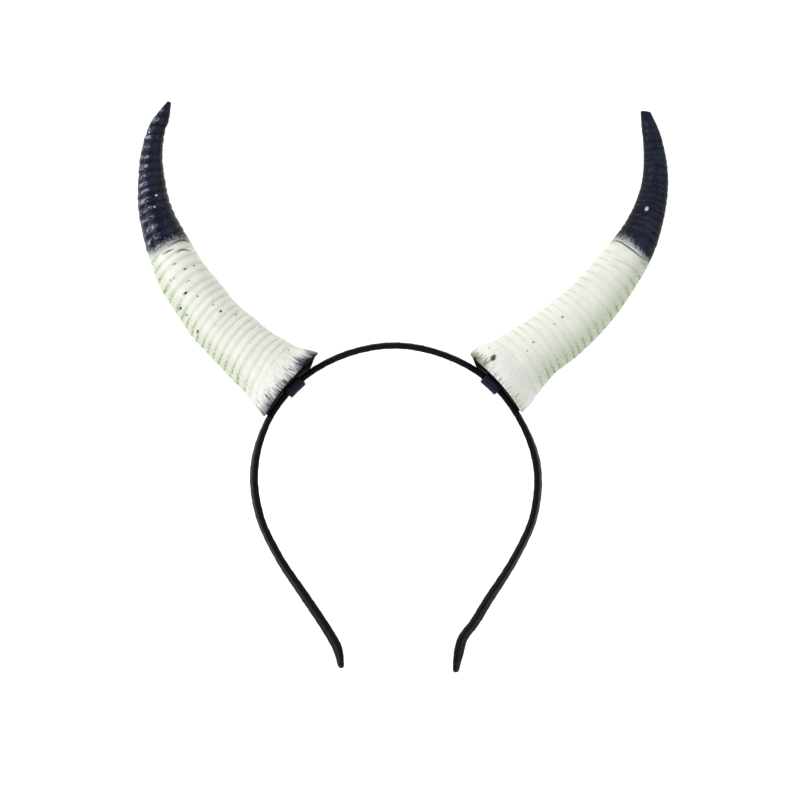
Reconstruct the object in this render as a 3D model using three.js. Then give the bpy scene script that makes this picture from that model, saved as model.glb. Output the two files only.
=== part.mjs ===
// Goat horn headband: two ringed foam horns strapped to a narrow satin-covered band.
// Millimetres, +Z up. The band is laid out first in its own flat frame, with +X to one side, +Y to
// the crown and +Z out of the band's plane, and is then laid on its back on the ground.

import * as THREE from 'three';

// Headband: a covered spring strip bent round the head.
const CROWN_RADIUS = 66.8;
const BAND_WIDTH = 5;
const BAND_THICKNESS = 2.2;
const BAND_CORNER = 0.8;
const BAND_STEP = 4.4;
const END_ROUNDING = 2.4;

// Horns: a rise is measured in the band's plane, from the middle of the base to the tip.
const LEFT_RISE = 129;
const RIGHT_RISE = 122.8;
const LEFT_BASE_WIDTH = 37.2;
const RIGHT_BASE_WIDTH = 35.9;
const BASE_DEPTH = 33.5;
const HORN_LEAN = 12;
const RING_RELIEF = 0.2;
const HORN_SIDES = 18;

// Seats: where each horn sits on the band, in degrees round from the crown, and how far its base is
// turned out of square with the band there.
const LEFT_SEAT_TURN = 45;
const RIGHT_SEAT_TURN = 43.2;
const LEFT_SEAT_TILT = 5;
const RIGHT_SEAT_TILT = 5.2;

// Fastening: a keeper loop round the band under each horn, and a thin pad on the horn's base.
const LOOP_LENGTH = 8.4;
const LOOP_WALL = 1.1;
const LEFT_LOOP_TURN = 43.7;
const RIGHT_LOOP_TURN = 41.6;
const PAD_THICKNESS = 1;
const PAD_INSET = 0.7;
const CLEARANCE = 0.25;

// Course of the band from the crown to each end. turn is in degrees round from the crown, radius is a
// share of CROWN_RADIUS, and twist is how many degrees the outer side has rolled towards +Z.
const LEFT_LEG = [
  { turn: 0, radius: 1, twist: 0 },
  { turn: 20, radius: 0.999, twist: 0 },
  { turn: 40, radius: 1.001, twist: 0 },
  { turn: 60, radius: 0.997, twist: 4 },
  { turn: 80, radius: 0.99, twist: 10 },
  { turn: 100, radius: 0.959, twist: 13 },
  { turn: 120, radius: 0.935, twist: 17 },
  { turn: 140, radius: 0.975, twist: 20 },
  { turn: 149.7, radius: 1.042, twist: 22 },
  { turn: 155, radius: 1.1, twist: 23 },
  { turn: 159.7, radius: 1.178, twist: 22 },
  { turn: 162.9, radius: 1.298, twist: 20 },
];
const RIGHT_LEG = [
  { turn: 0, radius: 1, twist: 0 },
  { turn: 20, radius: 0.993, twist: 0 },
  { turn: 40, radius: 0.994, twist: 0 },
  { turn: 60, radius: 0.985, twist: 4 },
  { turn: 80, radius: 0.981, twist: 8 },
  { turn: 100, radius: 0.962, twist: 12 },
  { turn: 120, radius: 0.942, twist: 16 },
  { turn: 140, radius: 0.991, twist: 20 },
  { turn: 149.7, radius: 1.068, twist: 22 },
  { turn: 155.8, radius: 1.127, twist: 24 },
  { turn: 159.5, radius: 1.229, twist: 23 },
  { turn: 162, radius: 1.334, twist: 20 },
];

// Sections of each horn from its base to its tip. out and rise place the middle of the section, as
// shares of the horn's rise; girth is a share of the base; aim is the section's direction, in
// degrees up from straight sideways.
const LEFT_SECTIONS = [
  { out: 0, rise: 0, girth: 1, aim: 40 },
  { out: 0.029, rise: 0.02, girth: 0.92, aim: 40.5 },
  { out: 0.057, rise: 0.043, girth: 0.848, aim: 41.5 },
  { out: 0.091, rise: 0.071, girth: 0.793, aim: 43.5 },
  { out: 0.123, rise: 0.097, girth: 0.755, aim: 46 },
  { out: 0.189, rise: 0.158, girth: 0.712, aim: 47 },
  { out: 0.256, rise: 0.223, girth: 0.681, aim: 49.5 },
  { out: 0.31, rise: 0.299, girth: 0.656, aim: 55.3 },
  { out: 0.365, rise: 0.374, girth: 0.62, aim: 61.2 },
  { out: 0.406, rise: 0.457, girth: 0.556, aim: 65.5 },
  { out: 0.443, rise: 0.543, girth: 0.478, aim: 71 },
  { out: 0.47, rise: 0.633, girth: 0.404, aim: 78.5 },
  { out: 0.481, rise: 0.727, girth: 0.328, aim: 86.5 },
  { out: 0.481, rise: 0.821, girth: 0.265, aim: 97 },
  { out: 0.465, rise: 0.912, girth: 0.206, aim: 108.7 },
  { out: 0.447, rise: 0.955, girth: 0.152, aim: 112.6 },
  { out: 0.428, rise: 1.004, girth: 0.037, aim: 115 },
];
const RIGHT_SECTIONS = [
  { out: 0, rise: 0, girth: 1, aim: 42.5 },
  { out: 0.028, rise: 0.024, girth: 0.965, aim: 42 },
  { out: 0.056, rise: 0.048, girth: 0.885, aim: 42 },
  { out: 0.092, rise: 0.079, girth: 0.82, aim: 42 },
  { out: 0.13, rise: 0.111, girth: 0.765, aim: 42 },
  { out: 0.206, rise: 0.168, girth: 0.735, aim: 42 },
  { out: 0.278, rise: 0.231, girth: 0.7, aim: 43.8 },
  { out: 0.345, rise: 0.299, girth: 0.665, aim: 48.2 },
  { out: 0.404, rise: 0.374, girth: 0.62, aim: 53 },
  { out: 0.46, rise: 0.452, girth: 0.57, aim: 57.8 },
  { out: 0.511, rise: 0.532, girth: 0.493, aim: 63.5 },
  { out: 0.552, rise: 0.619, girth: 0.42, aim: 72 },
  { out: 0.576, rise: 0.713, girth: 0.353, aim: 82 },
  { out: 0.582, rise: 0.808, girth: 0.302, aim: 92 },
  { out: 0.572, rise: 0.903, girth: 0.243, aim: 97 },
  { out: 0.561, rise: 0.955, girth: 0.198, aim: 92 },
  { out: 0.548, rise: 1.01, girth: 0.135, aim: 82 },
];

// Ring zones, as shares of the way along the horn, with how many rings each holds.
const RING_ZONES = [
  { from: 0.1, to: 0.33, rings: 10 },
  { from: 0.33, to: 0.62, rings: 10 },
  { from: 0.62, to: 0.96, rings: 16 },
];

// The base hugs the band's curve at its rim and is flat across by this share of the horn.
const SADDLE_FADE = 0.12;
const LEAN_EASE = 0.12;
const FLARE_STATIONS = [0.008, 0.03, 0.055, 0.08];
const CAP_RINGS = [0.25, 0.5, 0.75, 0.96];

const HORN_MATERIAL = { color: 0xe9e9dc, roughness: 0.55, metalness: 0 };
const BAND_MATERIAL = { color: 0x0d0d10, roughness: 0.45, metalness: 0 };
const PAD_MATERIAL = { color: 0x121214, roughness: 0.95, metalness: 0 };
const LOOP_MATERIAL = { color: 0x1b1f30, roughness: 0.5, metalness: 0 };

const radians = THREE.MathUtils.degToRad;

// Adds to each row how far along the course it lies, as a share of the whole.
function withDistances(rows, toPoint) {
  const points = rows.map(toPoint);
  const runs = [0];
  for (let i = 1; i < points.length; i += 1) {
    runs.push(runs[i - 1] + points[i].distanceTo(points[i - 1]));
  }
  const total = runs[runs.length - 1];
  return rows.map((row, i) => ({ ...row, along: runs[i] / total }));
}

// Reads one column of a table anywhere along it, on a smooth curve through its rows.
function readColumn(rows, column, along) {
  const last = rows.length - 2;
  let i = 0;
  while (i < last && along > rows[i + 1].along) {
    i += 1;
  }
  const slopeAt = (k) => {
    const before = rows[Math.max(k - 1, 0)];
    const after = rows[Math.min(k + 1, rows.length - 1)];
    return (after[column] - before[column]) / (after.along - before.along);
  };
  const span = rows[i + 1].along - rows[i].along;
  const t = THREE.MathUtils.clamp((along - rows[i].along) / span, 0, 1);
  const t2 = t * t;
  const t3 = t2 * t;
  const start = (2 * t3 - 3 * t2 + 1) * rows[i][column] + (t3 - 2 * t2 + t) * span * slopeAt(i);
  const end = (3 * t2 - 2 * t3) * rows[i + 1][column] + (t3 - t2) * span * slopeAt(i + 1);
  return start + end;
}

// Joins rings of equal length into one closed body. An open run of rings is capped by a fan at
// each end; a looped run joins its last ring to its first.
function loft(rings, looped = false) {
  const sides = rings[0].length;
  const points = rings.flat();
  const faces = [];
  const bands = looped ? rings.length : rings.length - 1;
  for (let i = 0; i < bands; i += 1) {
    const here = i * sides;
    const next = ((i + 1) % rings.length) * sides;
    for (let k = 0; k < sides; k += 1) {
      const beside = (k + 1) % sides;
      faces.push([here + k, here + beside, next + beside]);
      faces.push([here + k, next + beside, next + k]);
    }
  }
  if (!looped) {
    const firstMiddle = points.length;
    const lastRing = (rings.length - 1) * sides;
    points.push(middleOf(rings[0]), middleOf(rings[rings.length - 1]));
    for (let k = 0; k < sides; k += 1) {
      const beside = (k + 1) % sides;
      faces.push([firstMiddle, beside, k]);
      faces.push([firstMiddle + 1, lastRing + k, lastRing + beside]);
    }
  }
  return facingOut(points, faces);
}

function middleOf(ring) {
  const sum = new THREE.Vector3();
  for (const point of ring) {
    sum.add(point);
  }
  return sum.divideScalar(ring.length);
}

// Makes the geometry, turning every face over if the volume they enclose comes out negative.
function facingOut(points, faces) {
  let volume = 0;
  for (const [a, b, c] of faces) {
    volume += points[a].dot(points[b].clone().cross(points[c]));
  }
  const order = volume > 0 ? faces : faces.map(([a, b, c]) => [a, c, b]);
  const geometry = new THREE.BufferGeometry().setFromPoints(points);
  geometry.setIndex(order.flat());
  geometry.computeVertexNormals();
  return geometry;
}

function namedMesh(name, geometry, material) {
  const mesh = new THREE.Mesh(geometry, new THREE.MeshStandardMaterial(material));
  mesh.name = name;
  return mesh;
}

// Point of the band's centreline for one row of a leg; side is -1 for the left and 1 for the right.
function legPoint(row, side) {
  const reach = row.radius * CROWN_RADIUS;
  const turn = radians(row.turn);
  return new THREE.Vector3(side * reach * Math.sin(turn), reach * Math.cos(turn), 0);
}

const bandRows = [
  ...LEFT_LEG.slice(1).reverse().map((row) => ({ ...row, side: -1 })),
  ...RIGHT_LEG.map((row) => ({ ...row, side: 1 })),
];
const bandTable = withDistances(bandRows, (row) => legPoint(row, row.side));
const bandCurve = new THREE.CatmullRomCurve3(bandRows.map((row) => legPoint(row, row.side)));
bandCurve.arcLengthDivisions = 2000;
const bandLength = bandCurve.getLength();

// Distance along the band, from its left end, of the place at a given turn from the crown.
function bandDistanceAt(turn, side) {
  const samples = 4000;
  let best = 0;
  let smallest = Infinity;
  for (let i = 0; i <= samples; i += 1) {
    const point = bandCurve.getPointAt(i / samples);
    const miss = Math.abs(Math.atan2(point.x, point.y) - side * radians(turn));
    if (miss < smallest) {
      smallest = miss;
      best = (i / samples) * bandLength;
    }
  }
  return best;
}

// Frame of the band at a distance along it: middle, direction, outward side and width direction.
function bandFrame(distance) {
  const share = THREE.MathUtils.clamp(distance / bandLength, 0, 1);
  const middle = bandCurve.getPointAt(share);
  const along = bandCurve.getTangentAt(share);
  const flatOut = new THREE.Vector3(-along.y, along.x, 0);
  const twist = radians(readColumn(bandTable, 'twist', share));
  const up = new THREE.Vector3(0, 0, 1);
  const out = flatOut.clone().multiplyScalar(Math.cos(twist)).addScaledVector(up, Math.sin(twist));
  const across = up.clone().multiplyScalar(Math.cos(twist)).addScaledVector(flatOut, -Math.sin(twist));
  return { middle, along, out, across };
}

// Rounded rectangle round the band at a frame, grown by a margin and shrunk by a scale.
function bandRing(frame, margin, scale = 1) {
  const corner = BAND_CORNER + margin;
  const flatAcross = BAND_WIDTH / 2 + margin - corner;
  const flatOut = BAND_THICKNESS / 2 + margin - corner;
  const ring = [];
  for (const [signAcross, signOut, start] of [[1, 1, 0], [-1, 1, 90], [-1, -1, 180], [1, -1, 270]]) {
    for (const step of [0, 45, 90]) {
      const angle = radians(start + step);
      const across = signAcross * flatAcross + corner * Math.cos(angle);
      const out = signOut * flatOut + corner * Math.sin(angle);
      ring.push(
        frame.middle
          .clone()
          .addScaledVector(frame.across, across * scale)
          .addScaledVector(frame.out, out * scale),
      );
    }
  }
  return ring;
}

// The band: stations run both ways from the crown, so that a flat facet is centred on the crown,
// and each end closes in a quarter round.
function makeHeadband() {
  const crown = bandDistanceAt(0, 1);
  const rings = [];
  const firstStation = -Math.floor((crown - END_ROUNDING) / BAND_STEP - 0.5) - 0.5;
  const lastStation = Math.floor((bandLength - crown - END_ROUNDING) / BAND_STEP - 0.5) + 0.5;
  for (let station = firstStation; station <= lastStation; station += 1) {
    rings.push(bandRing(bandFrame(crown + station * BAND_STEP), 0));
  }
  for (const angle of [0, 30, 60, 80]) {
    const back = END_ROUNDING * (1 - Math.sin(radians(angle)));
    const scale = Math.cos(radians(angle)) ** 0.5;
    rings.unshift(bandRing(bandFrame(back), 0, scale));
    rings.push(bandRing(bandFrame(bandLength - back), 0, scale));
  }
  return namedMesh('headband', loft(rings), BAND_MATERIAL);
}

// The keeper loop: a short sleeve that follows the band.
function makeLoop(horn) {
  const seat = bandDistanceAt(horn.loopTurn, horn.side);
  const steps = 4;
  const outer = [];
  const inner = [];
  for (let i = 0; i <= steps; i += 1) {
    const frame = bandFrame(seat + LOOP_LENGTH * (i / steps - 0.5));
    outer.push(bandRing(frame, CLEARANCE + LOOP_WALL));
    inner.unshift(bandRing(frame, CLEARANCE));
  }
  return namedMesh(`loop_${horn.name}`, loft([...outer, ...inner], true), LOOP_MATERIAL);
}

// The seat of a horn: the middle of its base, its direction and the radius of its hollowed base.
// The base is lifted until the pad clears both the loop and the band at the base's outer corner.
function makeSeat(horn) {
  const frame = bandFrame(bandDistanceAt(horn.seatTurn, horn.side));
  const tilt = radians(horn.seatTilt);
  const bandOuter = frame.middle.length() + BAND_THICKNESS / 2;
  const loopReach = LOOP_LENGTH / 2 + bandOuter * radians(horn.loopTurn - horn.seatTurn);
  const overLoop = CLEARANCE + LOOP_WALL + CLEARANCE + Math.max(0, loopReach) * Math.tan(tilt);
  const atCorner = CLEARANCE + (horn.baseWidth / 2) * Math.tan(tilt);
  const padUnder = Math.max(overLoop, atCorner);
  const lift = padUnder + PAD_THICKNESS + CLEARANCE;
  const radial = frame.middle.clone().normalize();
  const middle = radial.clone().multiplyScalar(bandOuter + lift);
  const aim = Math.atan2(radial.y, Math.abs(radial.x)) - tilt;
  return { middle, aim, radius: bandOuter + lift, lift };
}

// Axes of a section: its direction, across it in the band's plane, and up out of that plane, all
// leaned back about the sideways axis.
function sectionAxes(side, aim, lean) {
  const direction = new THREE.Vector3(
    side * Math.cos(aim),
    Math.sin(aim) * Math.cos(lean),
    -Math.sin(aim) * Math.sin(lean),
  );
  const across = new THREE.Vector3(
    -side * Math.sin(aim),
    Math.cos(aim) * Math.cos(lean),
    -Math.cos(aim) * Math.sin(lean),
  );
  const up = new THREE.Vector3(0, Math.sin(lean), Math.cos(lean));
  return { direction, across, up };
}

// An oval ring about a middle point, bent down towards its two sides by a saddle of given radius.
function ovalRing(middle, axes, halfWidth, halfDepth, saddleRadius, saddleShare) {
  const ring = [];
  for (let k = 0; k < HORN_SIDES; k += 1) {
    const angle = (2 * Math.PI * k) / HORN_SIDES;
    const across = halfWidth * Math.cos(angle);
    const up = halfDepth * Math.sin(angle);
    const drop = saddleRadius - Math.sqrt(saddleRadius ** 2 - across ** 2);
    ring.push(
      middle
        .clone()
        .addScaledVector(axes.across, across)
        .addScaledVector(axes.up, up)
        .addScaledVector(axes.direction, -drop * saddleShare),
    );
  }
  return ring;
}

// Stations along a horn: plain ones in the flare, then a groove and a crest for every ring.
function hornStations() {
  const stations = FLARE_STATIONS.map((along) => ({ along, relief: 0 }));
  for (const zone of RING_ZONES) {
    for (let half = 0; half < zone.rings * 2; half += 1) {
      const along = zone.from + ((zone.to - zone.from) * half) / (zone.rings * 2);
      stations.push({ along, relief: half % 2 === 0 ? -1 : 1 });
    }
  }
  stations.push({ along: RING_ZONES[RING_ZONES.length - 1].to, relief: 0 });
  stations.push({ along: 1, relief: 0 });
  return stations;
}

function makeHorn(horn) {
  const table = withDistances(horn.sections, (row) => new THREE.Vector3(row.out, row.rise, 0));
  const seat = makeSeat(horn);
  const baseAxes = sectionAxes(horn.side, seat.aim, 0);
  const halfWidth = horn.baseWidth / 2;
  const halfDepth = BASE_DEPTH / 2;
  const rings = CAP_RINGS.map((share) =>
    ovalRing(seat.middle, baseAxes, halfWidth * share, halfDepth * share, seat.radius, 1),
  );
  const fullLean = radians(HORN_LEAN);
  for (const station of hornStations()) {
    const read = (column) => readColumn(table, column, station.along);
    const eased = THREE.MathUtils.smoothstep(station.along, 0, LEAN_EASE);
    const aim = THREE.MathUtils.lerp(seat.aim, radians(read('aim')), eased);
    const axes = sectionAxes(horn.side, aim, fullLean * eased);
    const out = read('out') * horn.rise;
    const rise = read('rise') * horn.rise;
    const middle = seat.middle
      .clone()
      .add(new THREE.Vector3(horn.side * out, rise * Math.cos(fullLean), -rise * Math.sin(fullLean)));
    const girth = read('girth');
    const relief = RING_RELIEF * station.relief * girth;
    const saddleShare = Math.max(0, 1 - station.along / SADDLE_FADE);
    rings.push(
      ovalRing(
        middle,
        axes,
        halfWidth * girth + relief,
        halfDepth * girth + relief,
        seat.radius,
        saddleShare,
      ),
    );
  }
  return namedMesh(`horn_${horn.name}`, loft(rings), HORN_MATERIAL);
}

// The pad: a thin sheet of the base's outline, bent to the same curve just under it.
function makePad(horn) {
  const seat = makeSeat(horn);
  const axes = sectionAxes(horn.side, seat.aim, 0);
  const halfWidth = horn.baseWidth / 2 - PAD_INSET;
  const halfDepth = BASE_DEPTH / 2 - PAD_INSET;
  const shares = [0.25, 0.5, 0.75, 1];
  const sheet = (drop) => {
    const middle = seat.middle.clone().addScaledVector(axes.direction, -drop);
    const radius = seat.radius - drop;
    return shares.map((share) =>
      ovalRing(middle, axes, halfWidth * share, halfDepth * share, radius, 1),
    );
  };
  const top = sheet(CLEARANCE);
  const bottom = sheet(CLEARANCE + PAD_THICKNESS);
  return namedMesh(`base_pad_${horn.name}`, loft([...top, ...bottom.reverse()]), PAD_MATERIAL);
}

// Lowest point of some meshes once they are turned about the sideways axis.
function lowestPoint(meshes, angle) {
  let lowest = Infinity;
  const point = new THREE.Vector3();
  for (const mesh of meshes) {
    const places = mesh.geometry.getAttribute('position');
    for (let i = 0; i < places.count; i += 1) {
      point.fromBufferAttribute(places, i);
      lowest = Math.min(lowest, point.y * Math.sin(angle) + point.z * Math.cos(angle));
    }
  }
  return lowest;
}

// Angle at which the band's ends and the backs of the horns touch the ground together.
function restingAngle(band, horns) {
  let low = 0;
  let high = radians(20);
  for (let i = 0; i < 40; i += 1) {
    const angle = (low + high) / 2;
    if (lowestPoint([band], angle) > lowestPoint(horns, angle)) {
      low = angle;
    } else {
      high = angle;
    }
  }
  return (low + high) / 2;
}

const horns = [
  {
    name: 'left',
    side: -1,
    rise: LEFT_RISE,
    baseWidth: LEFT_BASE_WIDTH,
    sections: LEFT_SECTIONS,
    seatTurn: LEFT_SEAT_TURN,
    seatTilt: LEFT_SEAT_TILT,
    loopTurn: LEFT_LOOP_TURN,
  },
  {
    name: 'right',
    side: 1,
    rise: RIGHT_RISE,
    baseWidth: RIGHT_BASE_WIDTH,
    sections: RIGHT_SECTIONS,
    seatTurn: RIGHT_SEAT_TURN,
    seatTilt: RIGHT_SEAT_TILT,
    loopTurn: RIGHT_LOOP_TURN,
  },
];

const headband = makeHeadband();
const hornMeshes = horns.map(makeHorn);
const worn = new THREE.Group();
worn.add(headband, ...hornMeshes, ...horns.map(makePad), ...horns.map(makeLoop));
worn.rotation.x = restingAngle(headband, hornMeshes);

// The origin is on the ground under the middle of the whole outline.
worn.updateMatrixWorld(true);
const box = new THREE.Box3().setFromObject(worn, true);
worn.position.set(-(box.min.x + box.max.x) / 2, -(box.min.y + box.max.y) / 2, -box.min.z);

const goatHornHeadband = new THREE.Group();
goatHornHeadband.add(worn);

export default goatHornHeadband;
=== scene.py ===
"""The goat horn headband, dressed: ringed, hand-painted foam horns on a ribbon-wound band.

Sizes are in millimetres until a mesh is made. The piece is laid out flat first, as the part's
source does, and is then tipped back by REST_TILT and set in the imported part's place.
"""

import math

import bpy
import numpy as np
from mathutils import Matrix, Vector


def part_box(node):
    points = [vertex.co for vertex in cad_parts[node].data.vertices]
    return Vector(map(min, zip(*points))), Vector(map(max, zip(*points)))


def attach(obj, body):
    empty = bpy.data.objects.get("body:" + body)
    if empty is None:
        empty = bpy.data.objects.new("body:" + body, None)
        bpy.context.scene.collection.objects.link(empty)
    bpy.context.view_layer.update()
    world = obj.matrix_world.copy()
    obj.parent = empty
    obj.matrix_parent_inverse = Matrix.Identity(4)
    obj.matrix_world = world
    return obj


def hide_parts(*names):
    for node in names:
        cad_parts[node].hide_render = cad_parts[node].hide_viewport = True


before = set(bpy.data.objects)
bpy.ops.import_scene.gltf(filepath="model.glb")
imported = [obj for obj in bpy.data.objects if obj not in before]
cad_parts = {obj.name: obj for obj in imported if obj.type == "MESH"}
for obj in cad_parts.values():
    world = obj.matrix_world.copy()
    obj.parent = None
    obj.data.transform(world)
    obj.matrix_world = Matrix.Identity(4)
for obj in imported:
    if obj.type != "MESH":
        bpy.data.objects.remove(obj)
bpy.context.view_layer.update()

MM = 0.001

# Camera: straight above the piece, which lies on its back.
CAMERA_HEIGHT = 1100.0
CAMERA_X = -1.38
CAMERA_Y = -5.75
FOCAL_PIXELS = 2374.0
IMAGE_PIXELS = 800.0
SENSOR_WIDTH = 36.0

# Headband
CROWN_RADIUS = 66.8
BAND_WIDTH = 5.0
BAND_THICKNESS = 2.2
BAND_CORNER = 0.8
END_ROUNDING = 2.4
STATION_STEP = 0.5
RIBBON_PITCH = 5.6
RIBBON_STEP = 0.13
RIBBON_FULLNESS = 0.28
END_TAPER_LENGTH = 11.0
END_TAPER = 0.34

# Horns
LEFT_RISE = 129.0
RIGHT_RISE = 122.8
LEFT_BASE_WIDTH = 37.2
RIGHT_BASE_WIDTH = 35.9
BASE_DEPTH = 33.5
HORN_LEAN = 12.0
LEFT_SEAT_TURN = 45.0
RIGHT_SEAT_TURN = 43.2
LEFT_SEAT_TILT = 5.0
RIGHT_SEAT_TILT = 5.2
HORN_SIDES = 128
HORN_STATIONS = 700
SADDLE_FADE = 0.12
LEAN_EASE = 0.12
RIM_ROUNDING = 1.0
LIP_LENGTH = 9.0
SKIRT_LENGTH = 4.0

# Fastening
LOOP_LENGTH = 8.4
LOOP_WALL = 1.1
LEFT_LOOP_TURN = 43.7
RIGHT_LOOP_TURN = 41.6
STRAP_LENGTH = 9.2
STRAP_SAG = 0.6
PAD_THICKNESS = 1.0
PAD_INSET = 1.9
CLEARANCE = 0.25

REST_TILT = 6.076

LEG_COLUMNS = "turn radius twist"
LEFT_LEG = [
    (0, 1, 0),
    (20, 0.999, 0),
    (40, 1.001, 0),
    (60, 0.997, 4),
    (80, 0.99, 10),
    (100, 0.959, 13),
    (120, 0.935, 17),
    (140, 0.975, 20),
    (149.7, 1.042, 22),
    (155, 1.1, 23),
    (159.7, 1.178, 22),
    (162.9, 1.298, 20),
]
RIGHT_LEG = [
    (0, 1, 0),
    (20, 0.993, 0),
    (40, 0.994, 0),
    (60, 0.985, 4),
    (80, 0.981, 8),
    (100, 0.962, 12),
    (120, 0.942, 16),
    (140, 0.991, 20),
    (149.7, 1.068, 22),
    (155.8, 1.127, 24),
    (159.5, 1.229, 23),
    (162, 1.334, 20),
]
# On the legs the ribbon stands a little inside or outside of the plain strip, and is turned more.
LEFT_LEG_SHIFT = -0.7
RIGHT_LEG_SHIFT = 0.4
LEG_SHIFT_TURNS = (56.0, 82.0)
LEG_TURN_MORE = 11.0
LOW_LEG_TURN_MORE = 7.0
LOW_LEG_TURNS = (115.0, 145.0)

SECTION_COLUMNS = "out rise girth aim"
LEFT_SECTIONS = [
    (0, 0, 1, 40),
    (0.029, 0.02, 0.92, 40.5),
    (0.057, 0.043, 0.848, 41.5),
    (0.091, 0.071, 0.793, 43.5),
    (0.123, 0.097, 0.755, 46),
    (0.189, 0.158, 0.712, 47),
    (0.256, 0.223, 0.681, 49.5),
    (0.31, 0.299, 0.656, 55.3),
    (0.365, 0.374, 0.62, 61.2),
    (0.406, 0.457, 0.556, 65.5),
    (0.443, 0.543, 0.478, 71),
    (0.471, 0.633, 0.394, 78.5),
    (0.481, 0.727, 0.328, 86.5),
    (0.481, 0.821, 0.265, 97),
    (0.463, 0.912, 0.208, 108.7),
    (0.442, 0.957, 0.163, 112.6),
    (0.42, 1.008, 0.05, 115),
]
RIGHT_SECTIONS = [
    (0, 0, 1, 42.5),
    (0.027, 0.025, 0.98, 42),
    (0.056, 0.048, 0.885, 42),
    (0.092, 0.079, 0.82, 42),
    (0.132, 0.111, 0.772, 42),
    (0.211, 0.168, 0.75, 42),
    (0.284, 0.231, 0.717, 43.8),
    (0.351, 0.299, 0.682, 48.2),
    (0.411, 0.374, 0.636, 53),
    (0.467, 0.452, 0.584, 57.8),
    (0.516, 0.532, 0.503, 63.5),
    (0.552, 0.619, 0.42, 72),
    (0.576, 0.713, 0.353, 82),
    (0.582, 0.808, 0.302, 92),
    (0.572, 0.903, 0.243, 97),
    (0.561, 0.955, 0.198, 92),
    (0.548, 1.01, 0.135, 82),
]

# Ring zones of a horn: from and to are shares of the way along it, pitch is in millimetres.
ZONE_COLUMNS = "start end pitch relief groove"
LEFT_ZONES = [
    (0.045, 0.3, 3.6, 0.3, 0.16),
    (0.3, 0.56, 4.7, 0.26, 0.12),
    (0.56, 0.95, 4.6, 0.36, 0.14),
]
RIGHT_ZONES = [
    (0.06, 0.33, 3.9, 0.2, 0.2),
    (0.33, 0.6, 4.3, 0.14, 0.16),
    (0.6, 0.97, 3.0, 0.14, 0.16),
]
LEFT_RING_SLANT = 0.17
RIGHT_RING_SLANT = 0.06
RING_BULGE = 0.11

# Marks on the horns, placed where the picture shows them: x and y are in its pixels, reach is the
# mark's half length and width its half width in millimetres, angle its slope, deep its depth.
MARK_COLUMNS = "x y reach width angle deep"
LEFT_PITS = [
    (174.6, 264.0, 0.7, 0.3, 20, 0.3),
    (185.2, 269.0, 0.8, 0.4, 20, 0.4),
    (194.4, 265.4, 0.4, 0.3, 0, 0.3),
    (171.0, 280.3, 0.35, 0.3, 0, 0.3),
    (173.7, 278.3, 0.35, 0.3, 0, 0.3),
    (189.0, 280.6, 0.3, 0.25, 0, 0.2),
    (186.2, 281.8, 0.3, 0.25, 0, 0.2),
    (185.3, 293.2, 1.0, 0.6, 35, 0.7),
    (197.5, 296.3, 0.5, 0.42, 0, 0.4),
    (180.2, 308.5, 0.8, 0.55, 60, 0.6),
    (186.5, 315.2, 0.45, 0.4, 40, 0.4),
    (197.6, 337.4, 0.3, 0.2, 0, 0.2),
    (213.3, 305.0, 0.35, 0.28, 0, 0.2),
    (221.0, 311.0, 0.62, 0.55, 0, 0.6),
    (236.0, 314.6, 0.4, 0.3, 0, 0.2),
    (197.4, 331.8, 0.85, 0.4, 75, 0.4),
    (289.0, 350.0, 0.4, 0.25, 0, 0.15),
    (260.5, 326.5, 0.4, 0.2, 20, 0.1),
]
RIGHT_PITS = [
    (493.2, 357.6, 1.7, 1.1, 60, 0.25),
    (533.8, 342.3, 0.7, 0.35, 10, 0.3),
    (562.5, 317.0, 0.6, 0.45, 0, 0.15),
    (554.0, 323.6, 0.4, 0.3, 0, 0.1),
    (489.6, 348.2, 0.35, 0.25, 70, 0.1),
    (527.0, 350.5, 0.35, 0.25, 0, 0.1),
]
# Painted highlights: small white glints of reflected light, only in the colour.
LEFT_GLINTS = [
    (156.3, 195.3, 0.6, 0.42, 0, 0),
    (154.5, 206.8, 0.5, 0.35, 0, 0),
    (149.2, 132.2, 0.5, 0.3, 30, 0),
]
RIGHT_GLINTS = [
    (646.7, 208.8, 1.0, 0.75, 60, 0),
]

# Cracks and the edge of the black paint are lines through a few points of the picture.
LEFT_CRACKS = [
    [(169.0, 246.0), (174.5, 242.6), (180.6, 240.2), (185.5, 240.6), (189.8, 241.8)],
    [(177.0, 252.5), (181.0, 249.9), (185.0, 249.6), (190.5, 250.9)],
    [(163.0, 254.5), (168.5, 251.0), (173.5, 249.0)],
]
RIGHT_CRACKS = [
    [(612.2, 241.0), (617.0, 240.9), (621.5, 242.4), (633.4, 250.8), (640.5, 256.6), (646.4, 260.5)],
]
RIGHT_FAINT_LINES = [
    [(606.0, 255.0), (616.0, 259.5), (627.0, 264.5), (638.0, 271.5)],
    [(605.0, 263.5), (615.0, 266.5), (624.0, 272.5)],
]
LEFT_PAINT_EDGE = [(139.0, 251.0), (146.0, 252.5), (155.0, 250.0), (163.0, 245.0), (172.0, 239.5), (187.0, 237.5)]
RIGHT_PAINT_EDGE = [(616.0, 236.0), (623.0, 237.5), (631.0, 241.5), (638.0, 247.5), (644.0, 255.0), (650.0, 262.0)]


def colour(red, green, blue):
    """A screen colour from 0 to 255 as a linear one."""
    linear = []
    for value in (red, green, blue):
        share = value / 255
        linear.append(share / 12.92 if share <= 0.04045 else ((share + 0.055) / 1.055) ** 2.4)
    return (*linear, 1.0)
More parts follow.
